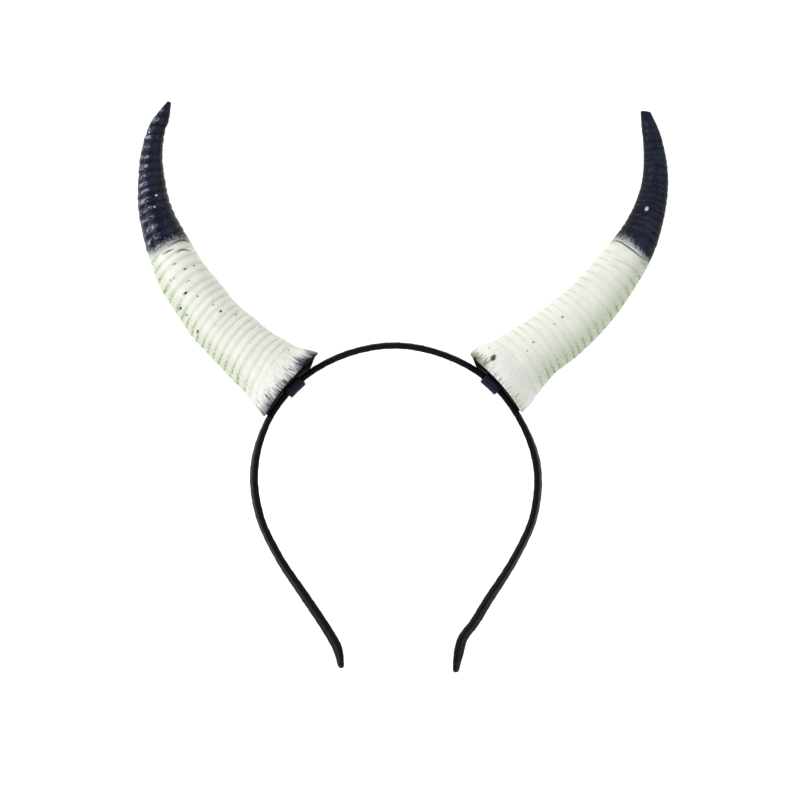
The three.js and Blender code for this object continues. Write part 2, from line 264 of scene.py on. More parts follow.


# How each horn is painted and how it wears, with the strength of its painted shade and painted highlights.
LEFT_LOOK = {
    "lip": 1.4, "skirt": 0.7, "rim_reach": 6.6, "mid_relief": 0.85, "wrinkles": 0.16, "ring_tone": 0.55, "line_tone": 0.3, "green_from": 0.66, "green_tone": 0.5,
    "stroke_tone": 0.3, "rim_outer": 0.78, "rim_haze": 0.95, "rim_colour": colour(70, 78, 96), "rim_solid": 0.8,
    "rim_black": colour(12, 12, 16), "navy": colour(31, 37, 58), "deep": colour(13, 16, 29), "inner_black": 0.42,
    "outer_black": 0.3, "worn": 0.5, "worn_colour": colour(80, 92, 120), "highlight_streaks": 0.8, "highlight_arcs": 0.8, "gloss": 0.16, "shine": 0.12, "wrinkle": 1.6,
}
RIGHT_LOOK = {
    "lip": 0.3, "skirt": 1.05, "rim_reach": 5.0, "mid_relief": 0.25, "wrinkles": 0.07, "ring_tone": 0.22, "line_tone": 0.75, "green_from": 0.46, "green_tone": 0.66,
    "stroke_tone": 0.28, "rim_outer": 0.45, "rim_haze": 0.8, "rim_colour": colour(96, 80, 60), "rim_solid": 0.94,
    "rim_black": colour(24, 21, 20), "navy": colour(33, 40, 60), "deep": colour(18, 22, 35), "inner_black": 0.42,
    "outer_black": 0.9,
    "worn": 0.7, "worn_colour": colour(70, 79, 104), "highlight_streaks": 0.0, "highlight_arcs": 0.0, "gloss": 0.5, "shine": 0.1, "wrinkle": 1.2,
}


def table(columns, rows):
    """A table as one array of numbers for each named column."""
    numbers = np.array(rows, float)
    return {name: numbers[:, i] for i, name in enumerate(columns.split())}


def smoothstep(values, low, high):
    t = np.clip((values - low) / (high - low), 0, 1)
    return t * t * (3 - 2 * t)


def unit(vectors):
    return vectors / np.maximum(np.linalg.norm(vectors, axis=-1, keepdims=True), 1e-12)


def with_distances(rows, points):
    """Adds to a table how far along the course each row lies, as a share of the whole."""
    runs = np.concatenate([[0], np.cumsum(np.linalg.norm(np.diff(points, axis=0), axis=1))])
    rows["along"] = runs / runs[-1]
    return rows


def read_column(rows, name, along):
    """Reads one column of a table anywhere along it, on a smooth curve through its rows."""
    along = np.atleast_1d(np.asarray(along, float))
    knots, values = rows["along"], rows[name]
    count = len(knots)
    before = np.maximum(np.arange(count) - 1, 0)
    after = np.minimum(np.arange(count) + 1, count - 1)
    slopes = (values[after] - values[before]) / (knots[after] - knots[before])
    i = np.clip(np.searchsorted(knots, along, side="left") - 1, 0, count - 2)
    span = knots[i + 1] - knots[i]
    t = np.clip((along - knots[i]) / span, 0, 1)
    start = (2 * t**3 - 3 * t**2 + 1) * values[i] + (t**3 - 2 * t**2 + t) * span * slopes[i]
    end = (3 * t**2 - 2 * t**3) * values[i + 1] + (t**3 - t**2) * span * slopes[i + 1]
    return start + end


def smooth_curve(points, per_span=160):
    """Close points on a centripetal Catmull-Rom curve through a few points."""
    course = np.vstack([2 * points[0] - points[1], points, 2 * points[-1] - points[-2]])
    gaps = np.linalg.norm(np.diff(course, axis=0), axis=1) ** 0.5
    t = np.linspace(0, 1, per_span, endpoint=False)[:, None]
    parts = []
    for i in range(len(points) - 1):
        a, b, c, d = course[i : i + 4]
        g0, g1, g2 = gaps[i : i + 3]
        leave = ((b - a) / g0 - (c - a) / (g0 + g1) + (c - b) / g1) * g1
        reach = ((c - b) / g1 - (d - b) / (g1 + g2) + (d - c) / g2) * g1
        parts.append(b + leave * t + (3 * (c - b) - 2 * leave - reach) * t**2 + (2 * (b - c) + leave + reach) * t**3)
    return np.vstack(parts + [points[-1:]])


def value_noise(u, v, cells, seed):
    """Smooth noise from -1 to 1 that repeats once round u; v runs on without end."""
    rng = np.random.default_rng(seed)
    tall = int(np.ceil(v.max())) + 3
    grid = rng.uniform(-1, 1, (tall, cells))
    x = (u % 1.0) * cells
    x0 = np.floor(x).astype(int)
    y0 = np.floor(v).astype(int)
    fx = x - x0
    fy = v - y0
    fx = fx * fx * (3 - 2 * fx)
    fy = fy * fy * (3 - 2 * fy)
    x0 = x0 % cells
    x1 = (x0 + 1) % cells
    y0 = np.clip(y0, 0, tall - 2)
    low = grid[y0, x0] * (1 - fx) + grid[y0, x1] * fx
    high = grid[y0 + 1, x0] * (1 - fx) + grid[y0 + 1, x1] * fx
    return low * (1 - fy) + high * fy


def leg_points(leg, side):
    reach = leg["radius"] * CROWN_RADIUS
    turn = np.radians(leg["turn"])
    return np.stack([side * reach * np.sin(turn), reach * np.cos(turn), 0 * turn], axis=1)


left_leg = table(LEG_COLUMNS, LEFT_LEG)
right_leg = table(LEG_COLUMNS, RIGHT_LEG)
band_points = np.vstack([leg_points(left_leg, -1)[:0:-1], leg_points(right_leg, 1)])
band_table = with_distances(
    {"twist": np.concatenate([left_leg["twist"][:0:-1], right_leg["twist"]])}, band_points
)
course = smooth_curve(band_points)
course_run = np.concatenate([[0], np.cumsum(np.linalg.norm(np.diff(course, axis=0), axis=1))])
band_length = course_run[-1]
course_along = unit(np.gradient(course, course_run, axis=0))


def band_distance_at(turn, side):
    angles = np.arctan2(course[:, 0], course[:, 1])
    return float(np.interp(side * math.radians(turn), angles, course_run))


def band_frame(distances, turned=0.0):
    """Middle, direction, outward side and width direction of the band at some distances along it."""
    distances = np.clip(np.atleast_1d(distances), 0, band_length)
    middle = np.stack([np.interp(distances, course_run, course[:, i]) for i in range(3)], axis=1)
    along = unit(np.stack([np.interp(distances, course_run, course_along[:, i]) for i in range(3)], axis=1))
    flat_out = np.stack([-along[:, 1], along[:, 0], 0 * distances], axis=1)
    twist = np.radians(read_column(band_table, "twist", distances / band_length) + turned)[:, None]
    up = np.array([0.0, 0.0, 1.0])
    out = flat_out * np.cos(twist) + up * np.sin(twist)
    across = up * np.cos(twist) - flat_out * np.sin(twist)
    return middle, along, out, across


def band_outline():
    """Anchors and normals round the band's rounded rectangle, with how far round each one is."""
    flat_across = BAND_WIDTH / 2 - BAND_CORNER
    flat_out = BAND_THICKNESS / 2 - BAND_CORNER
    rows = []
    for sign_across, sign_out, start in ((1, 1, 0), (-1, 1, 90), (-1, -1, 180), (1, -1, 270)):
        for step in (0, 22.5, 45, 67.5, 90):
            angle = math.radians(start + step)
            rows.append((sign_across * flat_across, sign_out * flat_out, math.cos(angle), math.sin(angle)))
        if sign_across == sign_out:
            for share in (0.6, 0.2, -0.2, -0.6):
                rows.append((sign_across * flat_across * share, sign_out * flat_out, 0, sign_out))
    rows = np.array(rows)
    places = rows[:, :2] + rows[:, 2:] * BAND_CORNER
    around = np.concatenate([[0], np.cumsum(np.linalg.norm(np.diff(places, axis=0), axis=1))])
    whole = around[-1] + np.linalg.norm(places[0] - places[-1])
    return rows, around / whole


def band_rings(distances, margins, scale=1.0, shift=0.0, turned=0.0):
    """Rings of points round the band; a margin lifts them off its plain surface."""
    middle, _, out, across = band_frame(distances, turned)
    middle = middle + np.broadcast_to(shift, (len(middle),))[:, None] * out * np.array([1.0, 1.0, 0.0])
    rows, _ = band_outline()
    grow = BAND_CORNER + np.broadcast_to(margins, (len(middle), len(rows)))
    scale = np.broadcast_to(scale, (len(middle),))[:, None]
    side_across = (rows[:, 0] + rows[:, 2] * grow) * scale
    side_out = (rows[:, 1] + rows[:, 3] * grow) * scale
    return middle[:, None] + across[:, None] * side_across[..., None] + out[:, None] * side_out[..., None]


def make_seat(side, seat_turn, seat_tilt, loop_turn, base_width):
    middle = band_frame(band_distance_at(seat_turn, side))[0][0]
    tilt = math.radians(seat_tilt)
    band_outer = float(np.linalg.norm(middle)) + BAND_THICKNESS / 2
    loop_reach = LOOP_LENGTH / 2 + band_outer * math.radians(loop_turn - seat_turn)
    over_loop = CLEARANCE + LOOP_WALL + CLEARANCE + max(0, loop_reach) * math.tan(tilt)
    at_corner = CLEARANCE + base_width / 2 * math.tan(tilt)
    radius = band_outer + max(over_loop, at_corner) + PAD_THICKNESS + CLEARANCE
    radial = middle / np.linalg.norm(middle)
    return {
        "middle": radial * radius,
        "aim": math.atan2(radial[1], abs(radial[0])) - tilt,
        "radius": radius,
        "band_outer": band_outer,
        "tilt": tilt,
        "loop_at": band_outer * math.radians(seat_turn - loop_turn),
    }


def section_axes(side, aim, lean):
    direction = np.stack([side * np.cos(aim), np.sin(aim) * np.cos(lean), -np.sin(aim) * np.sin(lean)], axis=-1)
    across = np.stack([-side * np.sin(aim), np.cos(aim) * np.cos(lean), -np.cos(aim) * np.sin(lean)], axis=-1)
    up = np.stack([0 * aim, np.sin(lean) + 0 * aim, np.cos(lean) + 0 * aim], axis=-1)
    return direction, across, up


def loft(rings, looped=False):
    """Vertices and quads of a run of rings, capped at each end unless it is looped."""
    stations, sides = rings.shape[:2]
    points = rings.reshape(-1, 3)
    rows = np.arange(stations if looped else stations - 1)[:, None]
    k = np.arange(sides)[None, :]
    here = rows * sides
    following = ((rows + 1) % stations) * sides
    beside = (k + 1) % sides
    quads = np.stack([here + k, here + beside, following + beside, following + k], axis=-1).reshape(-1, 4)
    faces = [tuple(q) for q in quads.tolist()]
    if not looped:
        first = len(points)
        last_ring = (stations - 1) * sides
        points = np.vstack([points, rings[0].mean(0), rings[-1].mean(0)])
        for i in range(sides):
            j = (i + 1) % sides
            faces.append((first, j, i))
            faces.append((first + 1, last_ring + i, last_ring + j))
    a, b, c = (points[quads[:, i]] for i in range(3))
    if (a * np.cross(b, c)).sum() < 0:
        faces = [tuple(reversed(face)) for face in faces]
    return points, faces


def tipped(points):
    """Points of the flat layout laid on their back, as far as the turn goes."""
    angle = math.radians(REST_TILT)
    turn = np.array([[1, 0, 0], [0, math.cos(angle), -math.sin(angle)], [0, math.sin(angle), math.cos(angle)]])
    return points @ turn.T


def plain_band_middle():
    """Middle of the plain band's box after tipping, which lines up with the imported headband's."""
    stations = np.linspace(END_ROUNDING, band_length - END_ROUNDING, 900)
    points = tipped(band_rings(stations, 0.0).reshape(-1, 3))
    ends = tipped(band_rings(np.array([0.04, band_length - 0.04]), 0.0, 0.42).reshape(-1, 3))
    points = np.vstack([points, ends])
    return (points.min(0) + points.max(0)) / 2


cad_band_low, cad_band_high = (np.array(corner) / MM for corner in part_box("headband"))
offset = (cad_band_low + cad_band_high) / 2 - plain_band_middle()


def placed(points):
    return tipped(points) + offset


def picture_point(points):
    """Where points in the row frame show in the picture, in its pixels."""
    away = CAMERA_HEIGHT - points[..., 2]
    across = IMAGE_PIXELS / 2 + FOCAL_PIXELS * (points[..., 0] - CAMERA_X) / away
    down = IMAGE_PIXELS / 2 - FOCAL_PIXELS * (points[..., 1] - CAMERA_Y) / away
    return across, down, away / FOCAL_PIXELS


def add_piece(name, rings, node, looped=False, values=None, smooth=True):
    points, faces = loft(rings, looped)
    points = placed(points)
    mesh = bpy.data.meshes.new(name)
    mesh.from_pydata((points * MM).tolist(), [], faces)
    mesh.validate()
    for key, numbers in (values or {}).items():
        layer = mesh.attributes.new(key, "FLOAT", "POINT")
        flat = np.asarray(numbers, float).reshape(-1)
        whole = np.concatenate([flat, np.full(len(points) - len(flat), flat[-1])])
        layer.data.foreach_set("value", whole.astype(np.float32))
    if smooth:
        mesh.polygons.foreach_set("use_smooth", [True] * len(mesh.polygons))
    piece = bpy.data.objects.new(name, mesh)
    bpy.context.scene.collection.objects.link(piece)
    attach(piece, "root")
    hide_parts(node)
    return piece


def line_distance(across, down, line):
    """Distance in pixels from places in the picture to a line through a few points, and the share along it."""
    best = np.full(across.shape, 1e9)
    where = np.zeros(across.shape)
    points = np.array(line, float)
    for i in range(len(points) - 1):
        a, b = points[i], points[i + 1]
        d = b - a
        t = np.clip(((across - a[0]) * d[0] + (down - a[1]) * d[1]) / (d @ d), 0, 1)
        far = np.hypot(across - a[0] - t * d[0], down - a[1] - t * d[1])
        nearer = far < best
        best = np.where(nearer, far, best)
        where = np.where(nearer, (i + t) / (len(points) - 1), where)
    return best, where


def marks_at(across, down, pixel, rows):
    """How strongly some elongated marks show at each place, from 0 to 1, and how deep they are."""
    show = np.zeros(across.shape)
    depth = np.zeros(across.shape)
    for x, y, reach, width, angle, deep in rows:
        c, s = math.cos(math.radians(angle)), math.sin(math.radians(angle))
        dx, dy = (across - x) * pixel, (y - down) * pixel
        far = np.hypot((dx * c + dy * s) / reach, (dy * c - dx * s) / width)
        here = 1 - smoothstep(far, 0.7, 1.25)
        show = np.maximum(show, here)
        depth = np.maximum(depth, here * deep)
    return show, depth


def ring_heights(zones, along, length, warp, seed):
    """Ridge and groove heights along a horn whose rings are uneven in pitch and strength."""
    rng = np.random.default_rng(seed)
    height = np.zeros(warp.shape)
    crease = np.zeros(warp.shape)
    wave = np.zeros(warp.shape)
    for start, end, pitch, relief, groove in zones:
        place = start * length
        while place < end * length:
            wide = pitch * rng.uniform(0.78, 1.25)
            strong = rng.uniform(0.55, 1.2)
            t = (warp - place) / wide
            inside = (t >= 0) & (t < 1)
            swell = np.where(inside, np.sin(np.pi * np.clip(t, 0, 1)) ** 1.4, 0)
            height += relief * strong * swell
            wave = np.maximum(wave, swell * (0.6 + 0.4 * strong))
            near = np.abs(warp - place) / 0.34
            cut = np.exp(-near * near)
            height -= groove * strong * cut
            crease = np.maximum(crease, cut * strong)
            place += wide
    return height, np.clip(crease, 0, 1), np.clip(wave, 0, 1)


def make_horn(name, side, rise, base_width, sections, seat, zones, slant, pits, glints, cracks, faint, paint_edge, seed, look):
    """One horn, with its rings, flare strokes, pits, cracks, painted areas and painted highlight spots."""
    rows = table(SECTION_COLUMNS, sections)
    with_distances(rows, np.stack([rows["out"], rows["rise"]], axis=1))
    along = np.linspace(0.0, 1.0, HORN_STATIONS)
    eased = smoothstep(along, 0, LEAN_EASE)
    aim = seat["aim"] * (1 - eased) + np.radians(read_column(rows, "aim", along)) * eased
    lean = math.radians(HORN_LEAN)
    direction, across, up = section_axes(side, aim, lean * eased)
    out = read_column(rows, "out", along) * rise
    rises = read_column(rows, "rise", along) * rise
    girth = read_column(rows, "girth", along)
    middle = seat["middle"] + np.stack([side * out, rises * math.cos(lean), -rises * math.sin(lean)], axis=1)
    runs = np.concatenate([[0], np.cumsum(np.linalg.norm(np.diff(middle, axis=0), axis=1))])
    length = runs[-1]
    turn = np.arange(HORN_SIDES) / HORN_SIDES
    angle = 2 * np.pi * turn[None, :]
    half_width = base_width / 2 * girth[:, None]
    half_depth = BASE_DEPTH / 2 * girth[:, None]
    # The rings lie nearer the base on the inner side and bow to the tip on the front.
    far = runs[:, None]
    sway = slant * half_width * np.cos(angle) + RING_BULGE * half_width * -np.abs(np.sin(angle)) ** 2
    drift = 0.5 * value_noise(turn[None, :] + 0 * far, far / 9, 5, seed) + 0.22 * value_noise(
        turn[None, :] + 0 * far, far / 3, 11, seed + 1
    )
    warp = far + sway + drift
    height, crease, wave = ring_heights(zones, along, length, warp, seed + 2)
    side_share = look["mid_relief"] + (1 - look["mid_relief"]) * np.abs(np.cos(angle)) ** 1.5
    crease = crease * side_share
    patchy = side_share * 0.8 + 0.35 * value_noise(turn[None, :] + 0 * far, far / 7, 6, seed + 3)
    height = height * patchy
    fine = value_noise(turn[None, :] + 0 * far, far / 0.75, 22, seed + 4) * 0.035
    fine = fine + value_noise(turn[None, :] + 0 * far, far / 5.0, 9, seed + 5) * 0.12
    wrinkles = value_noise(turn[None, :] + 0 * far, warp.clip(0) / 0.9, 13, seed + 9)
    fine = fine + look["wrinkles"] * wrinkles * smoothstep(along[:, None], 0.52, 0.6)
    # Fine strokes run lengthwise over the flare and fade into the rings.
    flare = 1 - smoothstep(along[:, None], 0.03, 0.1)
    strokes = value_noise(turn[None, :] + 0.004 * np.sin(far), far / 7, 64, seed + 6)
    strokes = strokes + 0.6 * value_noise(turn[None, :] + 0 * far, far / 3, 40, seed + 7)
    fade_tip = 1 - smoothstep(along[:, None], 0.955, 1.0)
    relief = (height + fine) * np.sqrt(np.clip(girth, 0.05, 1))[:, None] * fade_tip * smoothstep(along[:, None], 0.0, 0.03)
    relief = relief + 0.11 * strokes * flare * smoothstep(along[:, None], 0.0, 0.015)
    rim = RIM_ROUNDING * (1 - np.sqrt(np.clip(1 - (1 - np.clip(far / RIM_ROUNDING, 0, 1)) ** 2, 0, 1)))
    inner_corner = smoothstep(np.cos(angle), 0.3, 0.95)
    lip = look["lip"] * inner_corner * (1 - smoothstep(far, 0, LIP_LENGTH))
    reach = (half_width + relief - rim) * np.cos(angle) + lip
    lift = (half_depth + relief - rim) * np.sin(angle)
    drop = seat["radius"] - np.sqrt(seat["radius"] ** 2 - reach**2)
    saddle = np.maximum(0, 1 - along / SADDLE_FADE)[:, None]
    rings = middle[:, None] + across[:, None] * reach[..., None] + up[:, None] * lift[..., None]
    skirt = look["skirt"] * (1 - smoothstep(far, 0, SKIRT_LENGTH)) + 0 * reach
    rings = rings - direction[:, None] * (drop * saddle + skirt)[..., None]
    shown = placed(rings.reshape(-1, 3)).reshape(rings.shape)
    px, py, pixel = picture_point(shown)
    outward = unit(np.cos(angle)[..., None] * across[:, None] + np.sin(angle)[..., None] * up[:, None])
    facing = np.sin(angle) > -0.15
    pit, pit_depth = marks_at(px, py, pixel, pits)
    pit, pit_depth = pit * facing, pit_depth * facing
    fleck = marks_at(px, py, pixel, glints)[0] * facing
    crack = np.zeros(px.shape)
    for line in cracks:
        far_off, share = line_distance(px, py, line)
        taper = 0.35 + np.sin(np.pi * np.clip(share, 0.05, 0.95)) * 0.65
        crack = np.maximum(crack, (1 - smoothstep(far_off, 0.35, 1.15)) * taper)
    for line in faint:
        far_off, share = line_distance(px, py, line)
        crack = np.maximum(crack, 0.2 * np.sin(np.pi * share) * (1 - smoothstep(far_off, 0.3, 1.3)))
    crack = crack * facing
    rings = rings - outward * (pit_depth + 0.25 * crack)[..., None]
    # The black paint ends at the line seen from above, carried round the horn as a plane.
    edge = np.array(paint_edge, float)
    if side < 0:
        edge_down = np.interp(px, edge[:, 0], edge[:, 1])
    else:
        edge_down = np.interp(px, edge[:, 0], edge[:, 1])
    above = (edge_down - py) * pixel
    paint = np.clip(0.5 + above / 7.0, -0.6, 1.6)
    outer = 0.5 - 0.5 * np.cos(angle) + 0 * far
    rimmed = far + 1.1 * value_noise(turn[None, :] + 0 * far, far / 4, 48, seed + 8)
    values = {
        "paint": paint,
        "crease": np.clip(crease, 0, 1),
        "outer": outer,
        "rim": np.clip(1 - rimmed / look["rim_reach"], 0, 1) * (look["rim_outer"] + (1 - look["rim_outer"]) * inner_corner),
        "stroke": 0.5 + 0.35 * strokes,
        "pit": np.maximum(pit, crack),
        "fleck": fleck,
        "along": along[:, None] + 0 * angle,
        "wave": wave,
        "round_x": np.cos(angle) + 0 * far,
        "round_y": np.sin(angle) + 0 * far,
        "run": warp,
        "length": far + 0 * angle,
    }
    # The hollowed underside closes the base.
    shares = np.array([0.25, 0.5, 0.75, 0.93, 0.985])[:, None]
    base_direction, base_across, base_up = section_axes(side, np.array(seat["aim"]), np.array(0.0))
    flat_width = (base_width / 2 - RIM_ROUNDING) * shares * np.cos(angle)
    flat_depth = (BASE_DEPTH / 2 - RIM_ROUNDING) * shares * np.sin(angle)
    under_drop = seat["radius"] - np.sqrt(seat["radius"] ** 2 - flat_width**2)
    under = seat["middle"] + flat_width[..., None] * base_across + flat_depth[..., None] * base_up
    under = under - under_drop[..., None] * base_direction
    whole = np.concatenate([under, rings], axis=0)
    for key in values:
        first = np.broadcast_to(values[key], px.shape)
        values[key] = np.concatenate([np.repeat(first[:1], len(shares), axis=0), first], axis=0)
    return add_piece(f"dressed_horn_{name}", whole, f"horn_{name}", values=values)


def leg_changes(distances):
    """How far the ribbon stands outside of the plain strip, and how much more it is turned."""
    middle = band_frame(distances)[0]
    turn = np.degrees(np.arctan2(middle[:, 0], middle[:, 1]))
    on_leg = smoothstep(np.abs(turn), *LEG_SHIFT_TURNS)
    shift = np.where(turn < 0, LEFT_LEG_SHIFT, RIGHT_LEG_SHIFT) * on_leg
    turned = LEG_TURN_MORE * on_leg + LOW_LEG_TURN_MORE * smoothstep(np.abs(turn), *LOW_LEG_TURNS)
    return shift, turned


def end_taper(distances):
    """The ribbon thins out towards both ends of the band."""
    from_end = np.minimum(distances, band_length - distances)
    return 1 - END_TAPER * (1 - smoothstep(from_end, 0, END_TAPER_LENGTH))


def make_band():
    """The band under its wound satin ribbon: each turn laps a little over the one before."""
    crown = band_distance_at(0, 1)
    first = END_ROUNDING - crown
    stations = crown + np.arange(first, band_length - crown - END_ROUNDING, STATION_STEP)
    rows, around = band_outline()
    wound = stations[:, None] / RIBBON_PITCH + around[None, :]
    turn_share = wound % 1.0
    wander = value_noise(around[None, :] + 0 * stations[:, None], stations[:, None] / 6, 4, 31)
    margins = RIBBON_STEP * (turn_share - 0.5) + 0.05 * wander
    margins = margins + 0.03 * value_noise(around[None, :] + 0 * stations[:, None], stations[:, None] / 1.4, 9, 32)
    margins = margins + RIBBON_FULLNESS
    rings = band_rings(stations, margins, end_taper(stations), *leg_changes(stations))
    angles = np.radians([0, 15, 30, 45, 60, 70, 80, 86])
    back = END_ROUNDING * (1 - np.sin(angles))
    scale = np.cos(angles) ** 0.5
    first_end, last_end = back[::-1], band_length - back
    thick = RIBBON_FULLNESS + 0.03
    head = band_rings(first_end, thick, scale[::-1] * end_taper(first_end), *leg_changes(first_end))
    tail = band_rings(last_end, thick, scale * end_taper(last_end), *leg_changes(last_end))
    lap = np.concatenate([np.full((len(angles), len(rows)), 0.5), turn_share, np.full((len(angles), len(rows)), 0.5)])
    return add_piece("satin_band", np.concatenate([head, rings, tail]), "headband", values={"lap": lap})


def make_loop(name, side, loop_turn):
    """The keeper loop: a strap round the band with softly rounded edges."""
    seat = band_distance_at(loop_turn, side)
    half = STRAP_LENGTH / 2
    round_off = 0.45
    profile = []
    for t in np.linspace(-half + 0.1, half - 0.1, 26):
        edge = half - abs(t)
        top = LOOP_WALL - round_off + round_off * math.sqrt(max(0.0, 1 - max(0.0, 1 - edge / round_off) ** 2))
        profile.append((t, CLEARANCE + top + 0.06 * math.cos(math.pi * t / STRAP_LENGTH), STRAP_SAG))
    for t in np.linspace(half - 0.1, -half + 0.1, 12):
        profile.append((t, RIBBON_FULLNESS + 0.12, 0.0))
    profile = np.array(profile)
    # The strap hangs a little loose on the side towards the head.
    inward = np.clip(-band_outline()[0][:, 3], 0, 1)
    rings = band_rings(seat + profile[:, 0], profile[:, 1][:, None] + profile[:, 2][:, None] * inward)
    return add_piece(f"strap_loop_{name}", rings, f"loop_{name}", looped=True)


def make_pad(name, side, base_width, seat, seed):
    """The black felt pad under a horn, bent to the base's curve, with a slightly fuzzy cut edge."""
    sides = 160
    turn = np.arange(sides) / sides
    angle = 2 * np.pi * turn[None, :]
    direction, across, up = section_axes(side, np.array(seat["aim"]), np.array(0.0))
    top, bottom = 0.06, CLEARANCE + PAD_THICKNESS
    half = (bottom - top) / 2
    shares = np.linspace(0.03, 0.97, 48)
    rows = [(share, top, 0.0) for share in shares[::4]]
    for step in np.linspace(90, -90, 11):
        bend = math.radians(step)
        rows.append((1.0, top + half - half * math.sin(bend), 0.45 * math.cos(bend)))
    rows += [(share, bottom, 0.0) for share in shares[::-1]]
    rows = np.array(rows)
    rough = 0.12 * value_noise(turn[None, :], 0 * angle, 60, seed)
    wide = (base_width / 2 - PAD_INSET) * rows[:, :1] + (rows[:, 2:] + rough * (rows[:, :1] == 1))
    deep = (BASE_DEPTH / 2 - PAD_INSET) * rows[:, :1] + (rows[:, 2:] + rough * (rows[:, :1] == 1))
    reach = wide * np.cos(angle)
    lift = deep * np.sin(angle)
    # Beside the loop it swells down to the band, but not at the inner corner, which stands off.
    saddle = seat["radius"] - np.sqrt(seat["radius"] ** 2 - reach**2)
    low = seat["middle"] + reach[..., None] * across - (bottom + saddle)[..., None] * direction
    gaps = np.linalg.norm(low.reshape(-1, 1, 3)[..., :2] - course[None, ::4, :2], axis=-1).min(1)
    clear = gaps.reshape(reach.shape) - BAND_THICKNESS / 2
    over_band = np.clip(clear - RIBBON_FULLNESS - 0.05, 0, 3)
    over_loop = np.clip(clear - CLEARANCE - LOOP_WALL - 0.1, 0, 3)
    beside = smoothstep(np.abs(reach - seat["loop_at"]), STRAP_LENGTH / 2, STRAP_LENGTH / 2 + 0.4)
    inner_corner = 1 - smoothstep(reach / (base_width / 2), 0.6, 0.95)
    near_band = 1 - smoothstep(np.abs(lift), BAND_WIDTH, BASE_DEPTH / 2)
    under = (rows[:, 1:2] - top) / (bottom - top)
    room = over_band * beside + over_loop * (1 - beside)
    drop = rows[:, 1:2] + room * inner_corner * under * near_band + saddle
    rings = seat["middle"] + reach[..., None] * across + lift[..., None] * up - drop[..., None] * direction
    return add_piece(f"felt_pad_{name}", rings, f"base_pad_{name}")


def node_tools(material):
    """Short helpers that add and join nodes in a material."""
    tree = material.node_tree
    nodes, links = tree.nodes, tree.links

    def put(socket, value):
        if hasattr(value, "is_output"):
            links.new(value, socket)
        else:
            socket.default_value = value

    def attribute(name):
        node = nodes.new("ShaderNodeAttribute")
        node.attribute_name = name
        return node.outputs["Fac"]

    def maths(operation, first, second=0.0):
        node = nodes.new("ShaderNodeMath")
        node.operation = operation
        put(node.inputs[0], first)
        put(node.inputs[1], second)
        return node.outputs[0]

    def noise(scale, detail=3.0, rough=0.6, stretch=None):
        node = nodes.new("ShaderNodeTexNoise")
        place = nodes.new("ShaderNodeTexCoord")
        node.inputs["Scale"].default_value = scale
        node.inputs["Detail"].default_value = detail
        node.inputs["Roughness"].default_value = rough
        if stretch:
            mapping = nodes.new("ShaderNodeMapping")
            mapping.inputs["Scale"].default_value = stretch
            links.new(place.outputs["Object"], mapping.inputs["Vector"])
            links.new(mapping.outputs["Vector"], node.inputs["Vector"])
        else:
            links.new(place.outputs["Object"], node.inputs["Vector"])
        return node.outputs[0]

    def noise_round(stretch_round, stretch_along, along_name, scale, detail=3.0, rough=0.6):
        """Noise laid round and along the horn, so that its streaks follow it."""
        join = nodes.new("ShaderNodeCombineXYZ")
        put(join.inputs[0], maths("MULTIPLY", attribute("round_x"), stretch_round))
        put(join.inputs[1], maths("MULTIPLY", attribute("round_y"), stretch_round))
        put(join.inputs[2], maths("MULTIPLY", attribute(along_name), stretch_along))
        node = nodes.new("ShaderNodeTexNoise")
        node.inputs["Scale"].default_value = scale
        node.inputs["Detail"].default_value = detail
        node.inputs["Roughness"].default_value = rough
        links.new(join.outputs[0], node.inputs["Vector"])
        return node.outputs[0]

    def spread(value, low, high, new_low=0.0, new_high=1.0):
        node = nodes.new("ShaderNodeMapRange")
        node.interpolation_type = "SMOOTHSTEP"
        put(node.inputs["Value"], value)
        node.inputs["From Min"].default_value = low
        node.inputs["From Max"].default_value = high
        node.inputs["To Min"].default_value = new_low
        node.inputs["To Max"].default_value = new_high
        return node.outputs["Result"]

    def mix(share, first, second):
        node = nodes.new("ShaderNodeMix")
        node.data_type = "RGBA"
        put(node.inputs[0], share)
        put(node.inputs[6], first)
        put(node.inputs[7], second)
        return node.outputs[2]

    def bump(height, distance, strength=1.0):
        node = nodes.new("ShaderNodeBump")
        node.inputs["Distance"].default_value = distance
        node.inputs["Strength"].default_value = strength
        put(node.inputs["Height"], height)
        return node.outputs["Normal"]

    return put, attribute, maths, noise, noise_round, spread, mix, bump


def new_material(name):
    material = bpy.data.materials.new(name)
    material.use_nodes = True
    return material, material.node_tree.nodes["Principled BSDF"]


